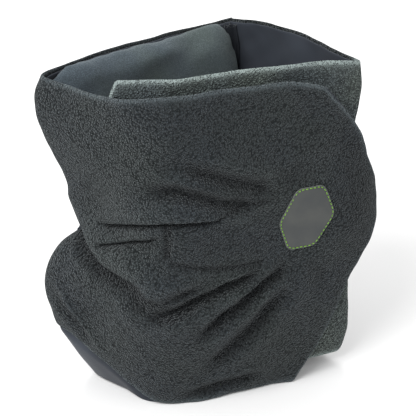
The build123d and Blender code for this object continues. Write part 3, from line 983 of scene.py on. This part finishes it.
SEWN_BOX = [(4, 126), (4, 102), (13, 100), (22, 97), (36, 94), (51, 93), (64, 91.5), (66, 104),
            (66, 126), (54, 126), (43, 126), (31, 125.6), (17, 125.4), (4, 126)]


def hook_stitches(surface):
    """The thread that holds the hook tape, sunk in the pile of the flap."""
    threads = gathered("hook_tape_stitches", stitch_line(surface, SEWN_BOX, **HOOK_STITCH))
    settle(threads, "front_flap", grey_thread, "grey_thread", "hook_pad_stitches")


# ---- the padded pocket ----
PAD_LOW, PAD_TOP = 14.0, 200.5
PAD_LEAN = 5.0
PAD_SAG = 14.0
PAD_LEFT_END = -46.0         # just past the left corner, behind the end of the tail
pad_back_end = track([0, 40, 120, 160, 175, 184, 191, 197, 202],
                     [-224, -224, -224, -224, -224, -223, -218, -209, -203])
PAD_BACK_FACE, PAD_START_FACE = -1.3, -9.8
VOXEL = 0.0040
SWELL_CLOTH = {"quality": 5, "mass": 0.3, "tension_stiffness": 12, "compression_stiffness": 12,
               "bending_stiffness": 0.4, "use_pressure": True}
SWELL_PRESSURE = 4.0
SWELL_FRAMES = 20
SWELL_CAP = 5.0
PRESS_REACH = 7.0            # points deeper past a lining than this belong to another wall
COVER = 1.6


def block_on(surface, name, low, high, first_end, last_end, faces, rows=46, columns=60, wave=0.0, lean=0.0,
             sag=0.0):
    """A closed block that follows the wall between two heights, with an end that varies by height.
    Its top leans, higher by lean millimetres at the wall, and sags by sag near the left end."""
    up = np.linspace(low, high, rows)[:, None]
    share = np.linspace(0, 1, columns)[None, :]
    along = first_end(up) * (1 - share) + last_end * share
    up = up - sag * smooth(-100, -62, along) * smooth(high - 70, high, up)
    outer = surface.at(along, up + lean * smooth(high - 14, high, up), faces[0])
    inner = surface.at(along, up, faces[1] + wave * softness(along * 1.6, up * 1.6))
    return cloth_mesh(name, outer, inner)


def modify(obj, kind, **values):
    """Put a modifier with these settings on an object."""
    modifier = obj.modifiers.new(kind, kind)
    for key, value in values.items():
        setattr(modifier, key, value)


def remeshed(obj, voxel):
    """The object's mesh replaced by an even voxel remesh of it."""
    modify(obj, "REMESH", mode="VOXEL", voxel_size=voxel)
    bake(obj)


def evaluated_mesh(obj):
    return bpy.data.meshes.new_from_object(obj.evaluated_get(bpy.context.evaluated_depsgraph_get()))


def bake(obj):
    """Apply the modifiers on an object to its mesh."""
    shape = evaluated_mesh(obj)
    obj.modifiers.clear()
    obj.data = shape
    shape.polygons.foreach_set("use_smooth", [True] * len(shape.polygons))


def positions(mesh):
    points = np.empty(len(mesh.vertices) * 3)
    mesh.vertices.foreach_get("co", points)
    return points.reshape(-1, 3)


def move_to(obj, points):
    obj.data.vertices.foreach_set("co", points.reshape(-1))
    obj.data.update()


def swell(obj, pressure, cap):
    """Blow the closed mesh up as cloth, and let no point move further than cap metres."""
    start = positions(obj.data)
    cloth = obj.modifiers.new("cloth", "CLOTH")
    for key, value in SWELL_CLOTH.items():
        setattr(cloth.settings, key, value)
    cloth.settings.uniform_pressure_force = pressure
    cloth.settings.effector_weights.gravity = 0
    cloth.point_cache.frame_start = 1
    cloth.point_cache.frame_end = SWELL_FRAMES
    scene = bpy.context.scene
    for number in range(1, SWELL_FRAMES + 1):
        scene.frame_set(number)
    moved = positions(evaluated_mesh(obj)) - start
    length = np.linalg.norm(moved, axis=1, keepdims=True) + 1e-12
    moved *= np.minimum(1.0, cap / length)
    obj.modifiers.clear()
    scene.frame_set(1)
    move_to(obj, start + moved)


def wall_depths(obj, surface):
    """For each vertex, its depth inside the cloth face in metres and the face's outward normal."""
    points = to_frame(surface.grid.reshape(-1, 3))
    normals = surface.normals.reshape(-1, 3)
    tree = KDTree(len(points))
    for index, point in enumerate(points):
        tree.insert(point, index)
    tree.balance()
    vertices = positions(obj.data)
    nearest = [tree.find(vertex)[1] for vertex in vertices]
    facing = normals[nearest]
    return np.sum((points[nearest] - vertices) * facing, axis=1), facing


def flatten_back(obj, surface, clearance):
    """Press the pad flat where it meets a lining, as the stiff wall does."""
    depth, facing = wall_depths(obj, surface)
    push = np.maximum(clearance - depth, 0)[:, None]
    push[push > PRESS_REACH * MM] = 0
    move_to(obj, positions(obj.data) - facing * push)


def neck_pad(surface, back_surface):
    cover = block_on(surface, "neck_pad_fleece", PAD_LOW, PAD_TOP, pad_back_end, PAD_LEFT_END,
                     (PAD_BACK_FACE, PAD_START_FACE), wave=0.5, lean=PAD_LEAN, sag=PAD_SAG)
    remeshed(cover, VOXEL)
    swell(cover, SWELL_PRESSURE, SWELL_CAP * MM)
    for wall in (surface, back_surface):
        flatten_back(cover, wall, -PAD_BACK_FACE * MM)
    modify(cover, "SMOOTH", factor=0.5, iterations=2)
    modify(cover, "SOLIDIFY", thickness=COVER * MM, offset=-1)
    modify(cover, "SUBSURF", levels=1, render_levels=1)
    bake(cover)
    settle(cover, "collar", pad_fleece, "pad_fleece", "neck_pad_cover")


FOAM_ROWS = {"lower_foam_rail": (40.0, 69.0), "foam_pad": (70.5, 135.0), "upper_foam_rail": (136.5, 168.0)}
FOAM_ENDS = (-203.0, -60.0)
FOAM_FACES = (-3.4, -7.4)
FOAM_VOXEL = 0.0022


def foam_pieces(surface):
    """Three strips of foam over the support moulding, each with softly rounded edges."""
    for node, (low, high) in FOAM_ROWS.items():
        foam = block_on(surface, node + "_foam", low, high, lambda up: 0 * up + FOAM_ENDS[0], FOAM_ENDS[1],
                        FOAM_FACES, rows=24, columns=70)
        remeshed(foam, FOAM_VOXEL)
        modify(foam, "SMOOTH", iterations=3)
        bake(foam)
        settle(foam, "collar", foam_cells, "foam", node)


# ---- the taped seam in the back corner ----
TAPE_INSET = 2.9
TAPE_LEGS = (2.6, 7.6)       # on the back panel, on the padded wall
TAPE_THICKNESS = 0.4
TAPE_LOW, TAPE_HIGH = 2.0, 198.0


def seam_tape():
    z = np.linspace(TAPE_LOW, TAPE_HIGH, 70)
    corner = back_at(z)
    along_wall = unit(left_at(z) - corner)
    along_back = unit(back_middle_at(z) - corner)
    sine = np.abs(along_wall[:, 0] * along_back[:, 1] - along_wall[:, 1] * along_back[:, 0])
    inside = corner + (along_wall + along_back) * (TAPE_INSET / sine)[:, None]
    plan = plan_rows([inside + along_back * TAPE_LEGS[0], inside, inside + along_wall * TAPE_LEGS[1]],
                     [2.2], [4, 4], [8])
    along = path_length(plan)
    up = z[:, None] + 0 * along
    outer = standing(plan, up, 0.25 * softness(along * 3, up * 2), 0 * up)
    tape = cloth_mesh("back_corner_tape", outer, inset(outer, TAPE_THICKNESS))
    settle(tape, "collar", tape_weave, "binding", "back_seam_tape")


def loose_threads():
    """The few thread ends at the top of the back corner."""
    spray = random.Random(5)
    tufts = []
    corner = back_at(np.array([RIM]))[0]
    for number in range(9):
        start = np.array([corner[0] - 5 + spray.uniform(-4, 3), corner[1] - 6 + spray.uniform(-3, 2), 198.0])
        lean = np.array([spray.uniform(-1, 1), spray.uniform(-1, 0.4), 0.6])
        share = np.linspace(0, 1, 7)[:, None]
        curl = np.array([math.sin(2.0 * number), math.cos(1.7 * number), 0.3])
        path = start + lean * share * 3.2 + curl * np.sin(math.pi * share) * 1.1
        tufts.append(tube(path, np.linspace(0.22, 0.10, 7), sides=5))
    threads = gathered("corner_thread_ends", tufts)
    settle(threads, "collar", grey_thread, "grey_thread")


def bend(obj):
    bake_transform(obj)


def add_wrap_sheets(grid, along, thickness, names, material, slot, replaced, cuts, painted_shading=None):
    """The two sheets of one ply of the wrap, which meet edge to edge on the flap."""
    inner = inset(grid, thickness)
    seam = grid_normals(grid)[:, SEAM_COLUMN]
    sheets = []
    for name, part, ends, normals in (
            (names[0], slice(0, SEAM_COLUMN + 1), (False, True), (None, seam)),
            (names[1], slice(SEAM_COLUMN, None), (True, False), (seam, None))):
        shade_values = None if painted_shading is None else painted_shading[:, part]
        # painted rim highlight: a quarter as strong on the back part of the wrap
        rim_highlight = 0.25 + 0.75 * smooth(-90, -60, along[-1, part])
        sheets.append(cloth_mesh(name, grid[:, part], inner[:, part], ends, normals, shade_values, rim_highlight))
    bend(sheets[0])
    bend(sheets[1])
    for piece, nodes, (flat, area) in zip(sheets, replaced, cuts):
        stand_in(piece, material, slot, *nodes)


def add_tail_sheet(grid, thickness, name, material, slot, nodes, at_back):
    """One ply of the inner tail and the back panel; at_back is the share of each point on the panel, which
    sets painted shade over the panel and takes the painted highlight off its rims.
    """
    # painted shade, darkest on the back panel
    painted_shading = NEUTRAL + (1 - NEUTRAL) * at_back
    piece = cloth_mesh(name, grid, inset(grid, thickness), painted_shading=painted_shading, rim_highlight=1 - at_back[-1])
    bend(piece)
    stand_in(piece, material, slot, *nodes)


def wrap_back(along):
    return smooth(-70, -100, along)


def tail_back(along):
    return smooth(144, 160, along)


def build():
    wrap, along, up, painted_shading = wrap_grid()
    add_wrap_sheets(wrap, along, fleece_depth(wrap_back(along)), ("outer_fleece_wrap", "tip_fleece_sheet"),
                    outer_fleece, "fleece", (("side_fleece", "flap_fleece"), ("tip_fleece",)),
                    (((0.200, 0.300), 0.0560), ((0.200, 0.088), 0.0135)), painted_shading)
    face = Surface(wrap, along, up)
    grip_patch(face)
    hook_stitches(face)
    plain, lining_along, lining_up = lining_grid()
    lining = inset(plain, fleece_depth(wrap_back(lining_along)) + GAP, 4)
    add_wrap_sheets(lining, lining_along, LINING, ("wrap_lining", "tip_lining_sheet"), lining_cloth, "lining",
                    (("pocket_lining", "flap_lining"), ("tip_lining",)),
                    (((0.200, 0.295), 0.0575), ((0.200, 0.087), 0.0135)))
    lining_face = Surface(lining, lining_along, lining_up)
    hook_tape(lining_face)
    pocket_face = Surface(lining, lining_along, lining_up, softening=60)
    tail, tail_along, tail_up = tail_grid(LINING_DROP)
    tail_inner = inset(tail, fleece_depth(tail_back(tail_along)) + GAP, 4)
    neck_pad(pocket_face, Surface(tail_inner, tail_along, tail_up))
    foam_pieces(pocket_face)
    outside, outside_along = tail_grid()[:2]
    at_back = tail_back(outside_along)
    add_tail_sheet(outside, fleece_depth(at_back), "tail_fleece_wrap", painted_lit_tail_pile, "fleece",
                   ("tail_fleece", "back_panel_fleece"), at_back)
    add_tail_sheet(tail_inner, LINING, "tail_lining_wrap", lining_cloth, "lining",
                   ("tail_lining", "back_panel_lining"), at_back)
    seam_tape()
    loose_threads()
    dress(frame["nodes"]["support_frame"], frame_plastic)


build()


# ---- stage, light and camera, in metres ----
FLOOR_REACH = 3.0
FLOOR_DROP = 0.0002          # keeps the floor clear of the hem
AZIMUTH, ELEVATION = math.radians(-24.3), math.radians(26.7)
LENS = 158.7
CAMERA_DISTANCE = 1.1
CAMERA_TARGET = Vector((0, 0, 0.105))
LIGHT_TARGET = Vector((0, 0, 0.1))
# name, place, size, power
LIGHTS = [("key", (-1.1, -0.62, 1.35), 1.1, 28), ("fill", (0.9, -0.9, 0.8), 1.0, 1.5),
          ("back", (0.3, 1.1, 1.2), 0.8, 8)]


def add_stage():
    floor_mesh = bpy.data.meshes.new("floor")
    corners = [(x * FLOOR_REACH, y * FLOOR_REACH, 0) for x, y in ((-1, -1), (1, -1), (1, 1), (-1, 1))]
    floor_mesh.from_pydata(corners, [], [(0, 1, 2, 3)])
    floor = placed("floor", floor_mesh)
    floor.location.z = cad_box[0][2] - FLOOR_DROP
    shader = Shader("pale_floor")
    shader.surface.inputs["Base Color"].default_value = (0.9, 0.9, 0.9, 1)
    shader.surface.inputs["Roughness"].default_value = 0.9
    floor_mesh.materials.append(shader.material)


def add_light(name, location, size, power):
    data = bpy.data.lights.new(name, "AREA")
    data.shape = "DISK"
    data.size = size
    data.energy = power
    light = placed(name, data)
    light.location = location
    light.rotation_euler = (LIGHT_TARGET - Vector(location)).to_track_quat("-Z", "Y").to_euler()


def add_camera():
    back = Vector((math.sin(AZIMUTH) * math.cos(ELEVATION), -math.cos(AZIMUTH) * math.cos(ELEVATION),
                   math.sin(ELEVATION)))
    data = bpy.data.cameras.new("camera")
    data.lens = LENS
    camera = placed("camera", data)
    camera.location = CAMERA_TARGET + back * CAMERA_DISTANCE
    camera.rotation_euler = (-back).to_track_quat("-Z", "Y").to_euler()
    bpy.context.scene.camera = camera


def add_world():
    world = bpy.data.worlds.new("studio")
    world.use_nodes = True
    background = world.node_tree.nodes["Background"]
    background.inputs["Color"].default_value = (1, 1, 1, 1)
    background.inputs["Strength"].default_value = 0.78
    bpy.context.scene.world = world
    bpy.context.scene.view_settings.view_transform = "Standard"


add_stage()
add_world()
for light_values in LIGHTS:
    add_light(*light_values)
add_camera()
